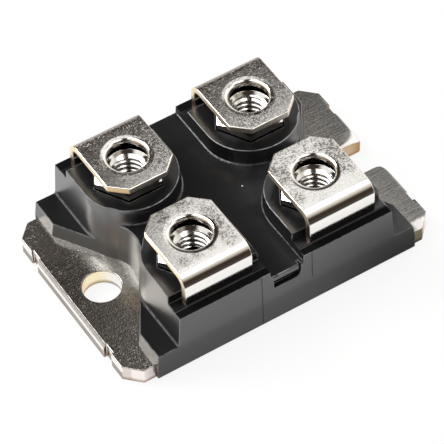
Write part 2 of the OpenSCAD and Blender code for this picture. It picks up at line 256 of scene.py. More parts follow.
@dataclass(frozen=True)
class MouldedCompound(Finish):
    """Black moulding compound with a fine grain, satin on top and glossier on the drafted walls; its edges carry wear
    and painted highlights, and the shoulders beside the legs a painted shade.
    """

    dark: Colour = (0.0045, 0.0045, 0.005)
    light: Colour = (0.011, 0.011, 0.012)
    worn: Colour = (0.34, 0.34, 0.345)
    # pale grey of worn edges, also a painted highlight on the rounded edges and fillets
    pale: Colour = (0.75, 0.75, 0.72)
    leg_line: Colour = (0.05, 0.05, 0.052)
    flash: Colour = (0.045, 0.016, 0.012)
    roughness: float = 0.42
    specular: float = 0.13
    coat_ior: float = 2.4
    coat_roughness: float = 0.28
    front_gloss: float = 0.64
    end_gloss: float = 0.36
    top_gloss: float = 0.46
    tower_gloss: float = 0.45
    shoulder_y: float = 11.6
    leg_line_y: float = 11.66
    speck_at: Place = (2.34, -0.27, 7.1)
    speck_size: float = 0.11
    long_face: float = -12.6
    witness: tuple[tuple[float, float], ...] = ((-3.13, 0.5), (3.0, 4.3))

    def _witness_lines(self, at: Spot) -> Signal:
        """Mask of the hairlines that the mould inserts leave in the long face."""
        lines = [at.x.band(across, 0.03, 0.04) * at.z.past(low - 0.2, low) for across, low in self.witness]
        return reduce(Signal.__add__, lines) * ~at.y.past(self.long_face - 0.04, self.long_face)

    def _edge_wear_and_highlights(self, graph: Graph, at: Spot, inner: Signal, end_wall: Signal) -> Signal:
        """Wear and painted highlights of the edges, and painted highlight lines on the fillets at the feet of the
        walls.

        Args:
            graph: Graph of the finish.
            at: Point of the surface.
            inner: Mask of the walls between the towers.
            end_wall: Mask of the walls that look to the end with the hole.

        Returns:
            Mask of the worn places, which also carry painted highlights.
        """
        # faces toward -X, and front faces low down, where wear and painted edge highlight are held back
        dim_edge_side = (-at.nx).rise(0.05, 0.3).at_least((-at.ny).rise(0.1, 0.3) * ~at.z.past(8.5, 8.7))
        wear = graph.noise(at.place, 1500.0, 3.0, 0.6).rise(0.25, 0.6)
        quarter = at.right() * at.front()
        edge = graph.mark("edge") * (1.0 - 0.6 * dim_edge_side * ~inner) * wear
        # the fillets at the feet of the walls get a painted highlight line, stronger on the end walls
        edge = edge.at_least(graph.mark("foot") * (0.06 + 0.12 * wear) * (1.0 + 2.0 * end_wall * ~quarter))
        edge = edge * (1.0 - 0.6 * quarter * ~at.z.past(7.4, 7.6))
        return edge * (1.0 - 0.8 * at.z.past(8.9, 9.1) * ~at.y.past(-9.6, -9.0))

    def paint(self, graph: Graph) -> None:
        """Grain in colour, gloss and relief, worn edges with painted highlights, a painted shade on the shoulders, and
        one pale speck on the centre flat.

        Args:
            graph: Graph of the finish.
        """
        at = graph.spot()
        grain = graph.noise(at.place, 5200.0, 3.0, 0.6)
        cloud = graph.noise(at.place, 240.0)
        pores = graph.noise(at.place, 2600.0, 4.0, 0.65)
        level, wall = at.nz.rise(0.8, 0.95), ~abs(at.nz).rise(0.35, 0.8)
        end_wall = (-graph.parts(graph.normal())[0]).rise(0.3, 0.8)
        inner = ~abs(at.x).past(3.2, 3.6) * at.z.past(7.0, 7.15) * ~(-at.ny).rise(0.5, 0.8)
        shoulder = abs(at.y).past(self.shoulder_y - 0.1, self.shoulder_y) * at.z.past(7.4, 7.6) * level
        # a thin grey line along the shoulder where each front leg meets the housing
        leg_line = abs(at.y).band(self.leg_line_y, 0.04, 0.03) * shoulder * ~at.y.past(0.0, 1.0)
        flash = ~at.z.past(1.9, 2.05) * ~at.x.past(-15.7, -15.5) * end_wall
        ends = {0: at.place, 1: tuple(v * MM for v in self.speck_at)}
        from_speck = graph.node("VectorMath", {"operation": "DISTANCE"}, ends, "Value")
        colour = graph.layers(
            self.dark,
            (grain.rise(0.3, 0.7) * 0.5 + cloud * 0.5, self.light),
            (leg_line, self.leg_line),
            (flash * ~at.y.past(-11.0, -10.8), self.flash),
            # worn edges and fillets, partly painted highlight
            (self._edge_wear_and_highlights(graph, at, inner, end_wall), self.worn),
            (~from_speck.past(0.5 * self.speck_size, self.speck_size), self.pale),
        )
        gloss = wall * (self.front_gloss + self.end_gloss * end_wall) * (0.75 + 0.25 * at.z.past(3.0, 4.5))
        gloss = gloss * (1.0 - 0.88 * inner) * (1.0 - 0.45 * end_wall * ~at.y.past(-1.0, 2.0))
        gloss = gloss * ~flash * (1.0 - 0.85 * self._witness_lines(at))
        tops = (at.x.past(-1.0, 7.0) * self.top_gloss).at_least(at.z.past(8.9, 9.1) * self.tower_gloss)
        # the shoulders beside the legs get a painted shade through the matt share
        graph.surface({
            "Base Color": colour,
            "Roughness": self.roughness + 0.12 * (cloud - 0.5) + 0.1 * (grain - 0.5) + 0.3 * shoulder,
            "Specular IOR Level": self.specular,
            "Coat Weight": gloss + level * tops * ~shoulder * cloud.rise(0.2, 0.6),
            "Coat IOR": self.coat_ior,
            "Coat Roughness": self.coat_roughness,
            "Normal": graph.bump(pores, 0.006),
        }, 0.75 * shoulder * ~leg_line)


@dataclass(frozen=True)
class StripNickel(Finish):
    """Bright nickel over copper, speckled on the faces, with copper showing at the sheared edges, painted shade on the
    undersides and in the screw hole, and a painted highlight on the strip ends.
    """

    bright: Colour = (0.93, 0.91, 0.87)
    dull: Colour = (0.24, 0.225, 0.20)
    edge: Colour = (0.97, 0.86, 0.66)
    copper: Colour = (0.62, 0.40, 0.24)
    # dark brown of the painted shade on undersides and in the hole, also used down the legs
    shade_brown: Colour = (0.19, 0.145, 0.125)
    gilt: Colour = (0.95, 0.72, 0.38)
    foot: Colour = (0.80, 0.60, 0.53)
    roughness: float = 0.10
    bend_y: float = 10.0
    bend_z: float = 10.4
    inner_r: float = 0.8
    thickness: float = 0.8
    hole_r: float = 2.15
    stains: tuple[tuple[float, float, float, float], ...] = (
        (-4.6, -7.3, 2.2, 0.9), (-9.0, -2.9, 0.0, 0.9), (-6.4, -2.8, 0.0, 0.9),
        (-10.1, -9.3, 0.0, 0.7), (10.4, -6.0, 1.6, 1.2), (4.3, -5.0, 0.4, 1.1),
        (3.9, -8.7, 0.0, 0.9), (-8.5, -9.2, 0.0, 0.6), (-6.9, -9.1, 0.0, 0.6),
    )

    def _stained(self, at: Spot) -> Signal:
        """Dull stains; each has its place, half its length along Y and its radius.

        Args:
            at: Point of the surface.

        Returns:
            Mask of the stains.
        """
        masks = []
        for across, along, half, radius in self.stains:
            off_y = (abs(at.y - along * MM) - half * MM).at_least(0.0)
            masks.append(~(at.x - across * MM).span(off_y).past(0.3 * radius, 1.4 * radius))
        return reduce(Signal.at_least, masks)

    def _sheared(self, graph: Graph, at: Spot) -> Signal:
        """Colour of the sheared edges, with a painted highlight on the ends and darker brown down the leg.

        Args:
            graph: Graph of the finish.
            at: Point of the surface.

        Returns:
            The colour.
        """
        right, front = at.right(), at.front()
        gilt = (-at.nx).rise(0.3, 0.5) * (-at.ny).rise(0.3, 0.5) * ~right * ~front
        leg = ~(at.z + front * (0.6 - 1.7 * right) * MM).past(9.2, 10.3)
        return graph.layers(
            self.edge,
            # the sheared ends facing along Y get bright nickel as a painted highlight
            (abs(at.ny).rise(0.8, 0.95), self.bright),
            (gilt, self.gilt),
            # the legs' sheared edges go darker brown below the bend and pink at the foot
            (leg, graph.mix(at.z.past(8.2, 8.9), self.foot, self.shade_brown)),
        )

    def paint(self, graph: Graph) -> None:
        """Speckle on the faces, a copper fracture zone on the lower half of each sheared edge, and painted shade on the
        undersides and in the screw hole.

        Args:
            graph: Graph of the finish.
        """
        at = graph.spot()
        outward, radius = at.from_screw()
        right, front = at.right(), at.front()
        bore = ~radius.past(self.hole_r + 0.02, self.hole_r + 0.06)
        end_face = abs(at.ny).rise(0.5, 0.8) * ~abs(at.y).past(3.5, 4.0)
        cut = abs(at.nx).rise(0.4, 0.75).at_least(end_face) * ~bore
        top = at.nz.rise(0.93, 0.99)
        fine = graph.noise(at.place, 4300.0, 4.0, 0.8)
        patch = graph.noise(at.place, 620.0, 3.0, 0.6)
        grain = 0.55 * fine + 0.45 * graph.cells(at.place, 6800.0) + 0.1 * right * ~front
        grain = grain.rise(0.40, 0.72)
        stained = self._stained(at) * (0.5 + 0.9 * (patch - 0.25)).at_least(0.0).at_most(1.0)
        worn = ~outward.past(-2.6, 1.6) * ~right + 0.6 * right
        far = (0.25 + 0.6 * worn + 1.8 * (patch - 0.5)).at_least(0.45).at_most(1.0)
        near = 0.20 + 0.36 * right * at.y.past(-9.2, -7.6) + 0.27 * at.y.past(-5.5, -4.0)
        near = (near + 0.8 * stained + 0.6 * (patch - 0.5)).at_least(0.05)
        speckle = (grain * (far * ~front + near * front) + 0.36 * stained) * (0.06 + 0.94 * top)
        specks = (graph.cells(at.place, 9800.0) + 0.6 * (fine - 0.5)).rise(0.74, 0.94)
        specks = specks * (0.55 + 0.45 * patch.rise(0.42, 0.6))
        bend = (abs(at.y) - self.bend_y * MM).at_least(0.0).span((at.z - self.bend_z * MM).at_least(0.0))
        depth = 1.0 + (self.inner_r * MM - bend) / (self.thickness * MM)
        fracture = cut * (depth + 0.35 * (fine - 0.5)).rise(0.55, 0.95)
        # downward faces and the screw hole wall get a painted shade
        shaded_underside = (~at.nz.rise(-0.9, -0.3)).at_least(bore * 0.7)
        colour = graph.layers(
            self.bright,
            (speckle, self.dull),
            (cut, self._sheared(graph, at)),
            (fracture * 0.8, self.copper),
            (shaded_underside, self.shade_brown),
        )
        graph.surface({
            "Base Color": colour,
            "Metallic": 1.0 - (0.42 * specks + 0.03 * ~grain) * ~front * top * ~bore,
            "Roughness": self.roughness + 0.06 * (patch - 0.5) + 0.36 * cut,
            "Normal": graph.bump(fine, 0.0022),
        })


@dataclass(frozen=True)
class BaseNickel(Finish):
    """Dull nickel over a rolled copper plate, with a rolling grain along X."""

    bright: Colour = (0.55, 0.525, 0.48)
    dull: Colour = (0.20, 0.185, 0.16)
    # white of the painted glints in the stipple
    glint: Colour = (0.95, 0.93, 0.88)
    pale: Colour = (0.97, 0.89, 0.84)
    gold: Colour = (0.68, 0.57, 0.38)
    tan: Colour = (0.60, 0.44, 0.28)
    bare: Colour = (0.30, 0.16, 0.09)
    white: Colour = (1.0, 0.97, 0.93)
    scraped: tuple[Colour, Colour] = ((0.26, 0.26, 0.255), (0.12, 0.12, 0.118))
    torn: tuple[Colour, Colour] = ((0.40, 0.36, 0.29), (0.23, 0.19, 0.15))
    ring: tuple[Colour, Colour] = ((0.95, 0.60, 0.36), (1.0, 0.89, 0.60))
    end: Colour = (0.13, 0.13, 0.128)
    notch: Colour = (0.10, 0.06, 0.04)
    broken: Colour = (0.42, 0.23, 0.11)
    deep: Colour = (0.20, 0.17, 0.135)
    hole_x: float = -15.1
    hole_r: float = 2.1
    lean: float = -0.07
    bow: float = 0.006
    roughness: float = 0.15
    roll_x: float = 19.25
    mouth_y: float = 2.1

    def _edge(self, graph: Graph, at: Spot, stipple: Signal, patch: Signal) -> Signal:
        """Colour of the sheared edges, which show their copper low down.

        Args:
            graph: Graph of the finish.
            at: Point of the surface.
            stipple: Fine noise.
            patch: Coarse noise.

        Returns:
            The colour.
        """
        hole_end = (-at.nx).rise(0.75, 0.95)
        combed = graph.noise(graph.stretched(at.place, (1.0, 0.06, 1.0)), 4200.0, 2.0, 0.6)
        side = graph.layers(
            graph.mix(combed.rise(0.4, 0.6), *self.torn),
            (at.z.past(1.0, 1.15), self.white),
            (at.z.band(1.06, 0.04, 0.06) * 0.8, self.bare),
        )
        from_hole = at.x - self.hole_x * MM
        ring = graph.mix(from_hole.past(-2.0, -0.6), *self.ring)
        bore = ~from_hole.span(at.y).past(self.hole_r + 0.2, self.hole_r + 0.3)
        notch = (-at.ny).rise(0.6, 0.9) * ~at.x.past(-18.3, -18.1) * at.y.past(-11.6, -11.4)
        low = ~(at.z + 0.5 * MM * (patch - 0.5)).past(0.15, 0.75)
        return graph.layers(
            self.pale,
            (hole_end, side),
            (bore, graph.mix(from_hole.past(0.6, 1.9), ring, self.white)),
            (notch, self.notch),
            (at.x.past(12.0, 14.0) * at.y.past(0.0, 1.0), graph.mix(at.x.past(17.2, 19.0), self.tan, self.broken)),
            (at.x.past(14.0, 16.0) * ~at.y.past(-11.5, -11.0), self.gold),
            (low * 0.8 + 0.35 * (stipple - 0.5), graph.mix(hole_end, self.bare, self.deep)),
        )

    def paint(self, graph: Graph) -> None:
        """Stipple, painted glints and rolling lines on the faces, a painted highlight on the rolled corner and the
        front finger, with a sheared edge that shows its copper low down.

        Args:
            graph: Graph of the finish.
        """
        at = graph.spot()
        stipple = graph.noise(at.place, 2600.0, 4.0, 0.75)
        lines = graph.noise(graph.stretched(at.place, (0.05, 1.0, 1.0)), 5600.0, 2.0, 0.6)
        patch = graph.noise(at.place, 300.0, 3.0, 0.55)
        pits = graph.noise(at.place, 4200.0, 3.0, 0.7)
        cut = ~abs(at.nz).rise(0.35, 0.7)
        finger = at.x.past(10.0, 14.0)
        crowd = (0.4 + 0.6 * patch.rise(0.42, 0.6)) * (1.0 - 0.7 * finger)
        crowd = crowd * (1.0 - 0.7 * at.y.band(-3.8, 1.2, 1.8))
        crowd = crowd + 0.5 * ~at.y.past(-8.5, -6.5) * ~finger
        # painted glints, denser in places
        glint = (graph.cells(at.place, 8200.0) + 0.9 * (stipple - 0.5)).rise(0.80, 1.05) * crowd * 0.75
        off_x, off_y = (self.roll_x * MM - at.x) / MM, (at.y - self.mouth_y * MM).at_least(0.0) / MM
        # the rolled corner and the front of the front finger get a white painted highlight
        rolled = ~(off_x * off_y + 0.5 * (patch - 0.5)).rise(0.6, 1.3) * at.y.past(0.0, 1.0) * finger
        painted_highlight = at.x.past(16.2, 16.9) * ~(at.y + 0.8 * MM * (stipple - 0.5)).past(-11.1, -10.5)
        painted_highlight = rolled.at_least(painted_highlight)
        colour = graph.layers(
            self.bright,
            (0.5 * stipple.rise(0.35, 0.65) + 0.3 * lines + 0.2 * patch, self.dull),
            (finger * (0.35 + 0.4 * at.x.past(15.0, 18.5)), graph.mix(lines.rise(0.3, 0.7), *self.scraped)),
            (at.nx.rise(0.2, 0.6) * at.x.past(18.0, 18.6) * ~at.y.past(-1.0, 0.0), self.end),
            (glint, self.glint),
            (painted_highlight, self.white),
            (cut, self._edge(graph, at, stipple, patch)),
        )
        film = 0.35 * glint + 0.08 * stipple.rise(0.5, 0.7) + 0.1 * lines.rise(0.58, 0.72) * crowd
        film = film + 0.9 * painted_highlight + 0.07 * at.y.past(4.0, 7.0)
        tilt = graph.node("CombineXYZ", None, {0: self.lean + self.bow * at.x.past(-10.0, 10.0)})
        bowed = graph.node("VectorMath", {"operation": "ADD"}, {0: graph.normal(), 1: tilt})
        bowed = graph.node("VectorMath", {"operation": "NORMALIZE"}, {0: bowed})
        graph.surface({
            "Base Color": colour,
            "Metallic": 1.0 - film * ~cut,
            "Roughness": self.roughness + 0.14 * (patch - 0.5) + 0.1 * (lines - 0.5) + 0.12 * cut,
            "Normal": graph.bump(pits, 0.012, graph.bump(lines, 0.006, bowed)),
        })


@dataclass(frozen=True)
class NutSteel(Finish):
    """Bright plated steel of the nuts, with painted shade on top under the strip, deep in the thread and on the outer
    sides.
    """

    bright: Colour = (0.88, 0.87, 0.84)
    dull: Colour = (0.50, 0.48, 0.45)
    # painted shade of the outer sides
    flank: Colour = (0.10, 0.095, 0.09)
    # painted shade of the sheltered top and the deep thread
    shaded_black: Colour = (0.012, 0.010, 0.009)
    roughness: float = 0.12
    mouth_r: float = 2.45
    deep_z: float = 7.7

    def paint(self, graph: Graph) -> None:
        """Fine drawing marks and small stains, with painted shade that darkens the sheltered top, the deep thread and
        the outer sides.

        Args:
            graph: Graph of the finish.
        """
        at = graph.spot()
        marks = graph.noise(at.place, 3200.0, 3.0, 0.6)
        stain = graph.noise(at.place, 700.0)
        _, radius = at.from_screw()
        # the top faces outside the mouth, under the strip, and the thread low down get a painted shade
        sheltered = radius.past(self.mouth_r, self.mouth_r + 0.04)
        outside = radius.past(self.mouth_r + 0.5, self.mouth_r + 0.7)
        deep = ~at.z.past(self.deep_z - 0.6, self.deep_z) * ~sheltered
        # the outer sides get a painted shade
        flank = ~abs(at.nz).rise(0.2, 0.5) * outside * (0.6 + 0.4 * stain)
        colour = graph.layers(
            self.bright,
            (0.5 * marks + 0.3 * stain, self.dull),
            (flank, self.flank),
            ((sheltered * ~outside + deep) * 0.9, self.shaded_black),
        )
        graph.surface({
            "Base Color": colour,
            "Metallic": 1.0,
            "Roughness": self.roughness + 0.1 * (stain - 0.5),
            "Normal": graph.bump(marks, 0.002),
        })


@dataclass(frozen=True)
class InnerFinish(Finish):
    """Finish of a piece that is sealed inside: two tones of a fine mottle."""

    light: Colour
    dark: Colour
    metallic: float
    roughness: float
    scale: float

    def paint(self, graph: Graph) -> None:
        """Mottle in colour and gloss, with a slight relief.

        Args:
            graph: Graph of the finish.
        """
        mottle = graph.noise(graph.place(), self.scale, 4.0, 0.6)
        graph.surface({
            "Base Color": graph.mix(mottle.rise(0.3, 0.7), self.light, self.dark),
            "Metallic": self.metallic,
            "Roughness": self.roughness + 0.15 * (mottle - 0.5),
            "Normal": graph.bump(mottle, 0.004),
        })


class Slot(Enum):
    """Material slots of the record, each with its finish."""

    PLATE = ("plate_nickel", BaseNickel("plated base"))
    HOUSING = ("housing_compound", MouldedCompound("moulding compound"))
    TERMINAL = ("terminal_nickel", StripNickel("terminal nickel"))
    NUT = ("nut_steel", NutSteel("nut steel"))
    SOLDER = ("solder", InnerFinish("solder", (0.62, 0.62, 0.60), (0.45, 0.45, 0.44), 1.0, 0.42, 1800.0))
    COPPER = ("copper", InnerFinish("bare copper", (0.78, 0.45, 0.30), (0.60, 0.32, 0.20), 1.0, 0.32, 2600.0))
    CERAMIC = ("ceramic", InnerFinish("white ceramic", (0.90, 0.89, 0.86), (0.82, 0.81, 0.78), 0.0, 0.55, 3800.0))
    SILICON = ("silicon", InnerFinish("metallised silicon", (0.44, 0.45, 0.48), (0.30, 0.31, 0.35), 1.0, 0.22, 5200.0))
    WIRE = ("wire_aluminium", InnerFinish("drawn aluminium", (0.84, 0.84, 0.85), (0.70, 0.70, 0.71), 1.0, 0.28, 6000.0))

    def __init__(self, key: str, finish: Finish) -> None:
        """Keep the name of the slot in the record and its finish."""
        self.key, self.finish = key, finish


class Workpiece:
    """A copy of a CAD node's mesh in the making, up to the finished object."""

    weld: float = 0.0001 * MM
    flat: float = 0.2

    def __init__(self, node: str) -> None:
        """Copy the mesh of a CAD node, merged and with its flat faces made whole.

        Args:
            node: Name of the CAD node.
        """
        self.node = node
        self.bm = bmesh.new()
        self.bm.from_mesh(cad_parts[node].data)
        bmesh.ops.remove_doubles(self.bm, verts=self.bm.verts[:], dist=self.weld)
        bmesh.ops.dissolve_limit(
            self.bm, angle_limit=math.radians(self.flat), verts=self.bm.verts[:], edges=self.bm.edges[:]
        )
        for layer in ("edge", "foot"):
            self.bm.faces.layers.float.new(layer)

    def mark(self, name: str, faces: Sequence[bmesh.types.BMFace]) -> None:
        """Mark faces as worn edge or as foot of a wall, for the finish's wear and painted highlights."""
        for face in faces:
            face[self.bm.faces.layers.float[name]] = 1.0

    def sharp(
        self, wanted: Callable[[Vector], bool] = lambda middle: True, angle: float = 25.0
    ) -> list[bmesh.types.BMEdge]:
        """Edges that fold by more than an angle.

        Args:
            wanted: Test of an edge's middle, in millimetres.
            angle: Smallest fold, in degrees.

        Returns:
            The edges.
        """
        return [
            edge for edge in self.bm.edges
            if edge.is_manifold and edge.calc_face_angle(0.0) > math.radians(angle)
            and wanted((edge.verts[0].co + edge.verts[1].co) / (2 * MM))
        ]

    def round_edges(self, edges: list[bmesh.types.BMEdge], width: float, segments: int) -> None:
        """Round edges off.

        Args:
            edges: Edges to round.
            width: Width of the rounding, in millimetres.
            segments: Faces across it.
        """
        made = bmesh.ops.bevel(
            self.bm, geom=edges, offset=width * MM, offset_type="OFFSET", affect="EDGES",
            segments=segments, profile=0.5, material=-1, clamp_overlap=False, loop_slide=True,
        )
        self.mark("edge", made["faces"])

    def finish(self, name: str, slot: Slot, crease: float = 35.0) -> bpy.types.Object:
        """Make the object, dress it and let it ride on the part in place of its CAD node.

        Args:
            name: Name of the piece.
            slot: Material slot it takes its finish from.
            crease: Angle above which an edge stays sharp, in degrees.

        Returns:
            The finished object.
        """
        bmesh.ops.remove_doubles(self.bm, verts=self.bm.verts[:], dist=self.weld)
        bmesh.ops.dissolve_degenerate(self.bm, dist=self.weld, edges=self.bm.edges[:])
        mesh = bpy.data.meshes.new(name)
        self.bm.to_mesh(mesh)
        self.bm.free()
        mesh.shade_smooth()
        mesh.set_sharp_from_angle(angle=math.radians(crease))
        piece = bpy.data.objects.new(name, mesh)
        bpy.context.scene.collection.objects.link(piece)
        mesh.materials.append(slot.finish.material())
        piece.modifiers.new("even shading", "WEIGHTED_NORMAL").keep_sharp = True
        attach(piece, BODY)
        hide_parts(self.node)
        return piece


class Across(Enum):
    """Normal of an upright plane that splits the plate."""

    X = (1.0, 0.0)
    Y = (0.0, 1.0)


@dataclass
class Base:
    """Plated copper plate with its fixing hole and slot."""

    node: str = "baseplate"
    thickness: float = 2.0
    edge_round: float = 0.12
    mouth_x: float = 19.05
    mouth_y: float = 2.1
    corner_round: float = 1.3
    corner_cuts: tuple[float, ...] = (0.0, 0.2, 0.4)
    slack: float = 1.001
    level: float = 0.9999
    roll_reach: float = 2.0
    roll_margin: float = 0.05
    roll_cuts: int = 4
    roll_fall: float = 0.5
    low_wall: float = 0.9

    def build(self) -> bpy.types.Object:
        """The plate with all its edges rounded and the far corner of the slot mouth rolled over.

        Returns:
            The finished object.
        """
        work = Workpiece(self.node)
        self._round_corner(work)
        work.round_edges(work.sharp(), self.edge_round, 3)
        self._roll_mouth(work)
        return work.finish("base_plate", Slot.PLATE)

    def _round_corner(self, work: Workpiece) -> None:
        """Take the corner of the slot mouth nearer to the gate mark in to a fuller round.

        Args:
            work: The plate.
        """
        radius = self.corner_round * MM
        centre = Vector((self.mouth_x, -self.mouth_y)) * MM - Vector((radius, radius))
        reach = centre.x - 0.5 * radius
        self._slice(work, reach, (reach, 0.0), Across.X)
        for share in self.corner_cuts:
            for across in Across:
                self._slice(work, reach, (centre.x + share * radius, centre.y + share * radius), across)
        for vert in work.bm.verts:
            offset = vert.co.xy - centre
            if 0.0 < min(offset) and max(offset) < self.slack * radius < self.slack * offset.length:
                vert.co.xy = centre + offset.normalized() * radius
        work.bm.normal_update()
        level = [
            edge for edge in work.bm.edges
            if len(edge.link_faces) == 2 and all(abs(face.normal.z) > self.level for face in edge.link_faces)
        ]
        bmesh.ops.dissolve_edges(work.bm, edges=level, use_verts=False)

    @staticmethod
    def _slice(work: Workpiece, reach: float, point: tuple[float, float], across: Across) -> None:
        """Split the faces at an upright plane, so that they have points to move there.

        Args:
            work: The plate.
            reach: Least X of the faces that a plane along X splits.
            point: A point of the plane.
            across: Normal of the plane.
        """
        faces = [face for face in work.bm.faces if across is Across.X or face.calc_center_median().x > reach]
        edges = {edge for face in faces for edge in face.edges}
        verts = {vert for face in faces for vert in face.verts}
        bmesh.ops.bisect_plane(
            work.bm, geom=[*verts, *edges, *faces], dist=work.weld,
            plane_co=(*point, 0.0), plane_no=(*across.value, 0.0),
        )

    def _roll_mouth(self, work: Workpiece) -> None:
        """Let the upper face fall away at the far corner of the slot mouth.

        Args:
            work: The plate.
        """
        steps = [self.roll_reach * i / self.roll_cuts for i in range(1, self.roll_cuts + 1)]
        outer = self.roll_reach + self.roll_margin
        reach = (self.mouth_x - outer) * MM
        for step in [outer] + steps:
            self._slice(work, reach, ((self.mouth_x - step) * MM, 0.0), Across.X)
        for step in steps:
            self._slice(work, reach, (0.0, (self.mouth_y + step) * MM), Across.Y)
        for vert in work.bm.verts:
            x, y, z = vert.co / MM
            near = 1.0 - math.hypot(self.mouth_x - x, y - self.mouth_y) / self.roll_reach
            if near > 0.0 and z > self.low_wall:
                height = (z - self.low_wall) / (self.thickness - self.low_wall)
                vert.co.z -= self.roll_fall * near * near * MM * height


@dataclass
class Housing:
    """Moulded housing with towers, recesses and nut pockets."""

    node: str = "moulded_body"
    edge_round: float = 0.08
    hidden_x: float = 10.6
    hidden_y: float = 11.65
    hidden_z: float = 7.05
    leg_in: float = 10.75
    leg_top: float = 8.1
    leg_x: float = 11.6
    plate_y: float = 12.1
    plate_z: float = 2.05
    flat_z: float = 7.1
    step_z: float = 3.8
    fillet: float = 0.22
    lip_round: float = 0.2
    lip_x: float = 1.9
    lip_y: float = -12.6
    half_width: float = 12.65

    def build(self) -> bpy.types.Object:
        """The housing with its outer edges rounded.

        Returns:
            The finished object.
        """
        work = Workpiece(self.node)
        work.round_edges(work.sharp(self._gate_lip, 60.0), self.lip_round, 5)
        # the fillets are marked for the painted highlight line of the finish
        work.mark("foot", [face for face in work.bm.faces if self._is_fillet(face)])
        work.round_edges(work.sharp(self._outside), self.edge_round, 2)
        for vert in work.bm.verts:
            vert.co.y = max(vert.co.y, -self.half_width * MM)
        return work.finish("housing", Slot.HOUSING)

    def _outside(self, middle: Vector) -> bool:
        """Whether an edge is on the outer skin.

        Args:
            middle: Middle of the edge, in millimetres.

        Returns:
            True for an edge that shows.
        """
        x, y, z = abs(middle.x), abs(middle.y), middle.z
        inside = x < self.hidden_x and y < self.hidden_y and z < self.hidden_z
        beside_leg = self.leg_in < y < self.hidden_y and z < self.leg_top and x < self.leg_x
        on_plate = z < self.plate_z and y < self.plate_y
        return not (inside or beside_leg or on_plate)

    def _gate_lip(self, middle: Vector) -> bool:
        """Whether an edge is the front edge of the centre flat, over the gate mark."""
        return middle.y < self.lip_y and abs(middle.z - self.flat_z) < 0.02 and abs(middle.x) < self.lip_x

    def _is_fillet(self, face: bmesh.types.BMFace) -> bool:
        """Whether a face belongs to a fillet at the foot of a wall."""
        heights = [face.calc_center_median().z / MM - level for level in (self.flat_z, self.step_z)]
        return any(0.0 < height < self.fillet for height in heights) and 0.45 < face.normal.z < 0.9


@dataclass
class Terminal:
    """One folded strip."""

    number: int
    edge_round: float = 0.12
    show_z: float = 7.9
    top: float = 12.0
    hole_rim_r: float = 2.37
    rim_slack: float = 0.05
    hole_r: float = 2.15
    draw_r: float = 2.9
    draw_width: float = 0.38
    draw_depth: float = 0.5
    draw_angle: float = 7.0
    draw_share: float = 0.3
    round_r: float = 0.42
    rings: int = 15

    def build(self) -> bpy.types.Object:
        """The strip with the edges above the housing rounded and the hole edge drawn in.

        Returns:
            The finished object.
        """
        work = Workpiece(f"terminal_{self.number}")
        work.round_edges(work.sharp(self._outer_edge), self.edge_round, 4)
        self._draw_in(work)
        return work.finish(f"terminal_strip_{self.number}", Slot.TERMINAL)

    def _draw_in(self, work: Workpiece) -> None:
        """Draw the edge of the hole in, as the punch does: a faint slope that ends in a full round.

        Args:
            work: The strip.
        """
        rim = [vert for vert in work.bm.verts if self._hole_rim(vert.co / MM)]
        centre = sum((vert.co for vert in rim), Vector()) / len(rim)
        wider = self.draw_r / self.hole_rim_r
        bmesh.ops.scale(work.bm, verts=rim, vec=(wider, wider, 1.0), space=Matrix.Translation(-centre))
        on_rim = set(rim)
        spokes = [
            edge for vert in rim for edge in vert.link_edges
            if edge.other_vert(vert) not in on_rim and self._from_axis(edge.other_vert(vert).co / MM) < self.hole_rim_r
        ]
        bmesh.ops.subdivide_edges(work.bm, edges=spokes, cuts=self.rings, use_grid_fill=True)
        for vert in work.bm.verts:
            radius = self._from_axis(vert.co / MM)
            if radius < self.draw_r + 0.001 and vert.co.z / MM > self.top - self.draw_depth:
                wanted, fall = self._edge_profile((self.draw_r - radius) / (self.draw_r - self.hole_r))
                offset = (vert.co - centre).xy
                vert.co.xy = centre.xy + offset.normalized() * wanted * MM
                vert.co.z = (self.top - fall) * MM

    def _edge_profile(self, share: float) -> tuple[float, float]:
        """Profile of the drawn hole edge.

        Args:
            share: Way along the profile, from 0 at its outer end to 1 at the hole wall.

        Returns:
            Radius and depth below the top, in millimetres.
        """
        start = math.radians(self.draw_angle)
        slope = math.tan(start)
        if share < self.draw_share:
            inward = self.draw_width * max(0.0, share) / self.draw_share
            return self.draw_r - inward, slope * inward * inward / (2 * self.draw_width)
        turn = start + (math.pi / 2 - start) * min(1.0, (share - self.draw_share) / (1.0 - self.draw_share))
        lead = slope * self.draw_width / 2
        return (self.hole_r + self.round_r * (1.0 - math.sin(turn)),
                lead + self.round_r * (math.cos(start) - math.cos(turn)))

    @staticmethod
    def _from_axis(place: Vector) -> float:
        """Distance of a place from the screw axis of its own quarter, in millimetres."""
        return math.hypot(abs(place.x) - SCREW_X, abs(place.y) - SCREW_Y)

    def _hole_rim(self, place: Vector) -> bool:
        """Whether a place is on the upper rim of the screw hole."""
        return place.z > self.top - 0.01 and self._from_axis(place) < self.hole_rim_r + self.rim_slack

    def _outer_edge(self, middle: Vector) -> bool:
        """Whether an edge stands above the housing, outside the screw hole."""
        return middle.z > self.show_z and self._from_axis(middle) > self.hole_rim_r + self.rim_slack


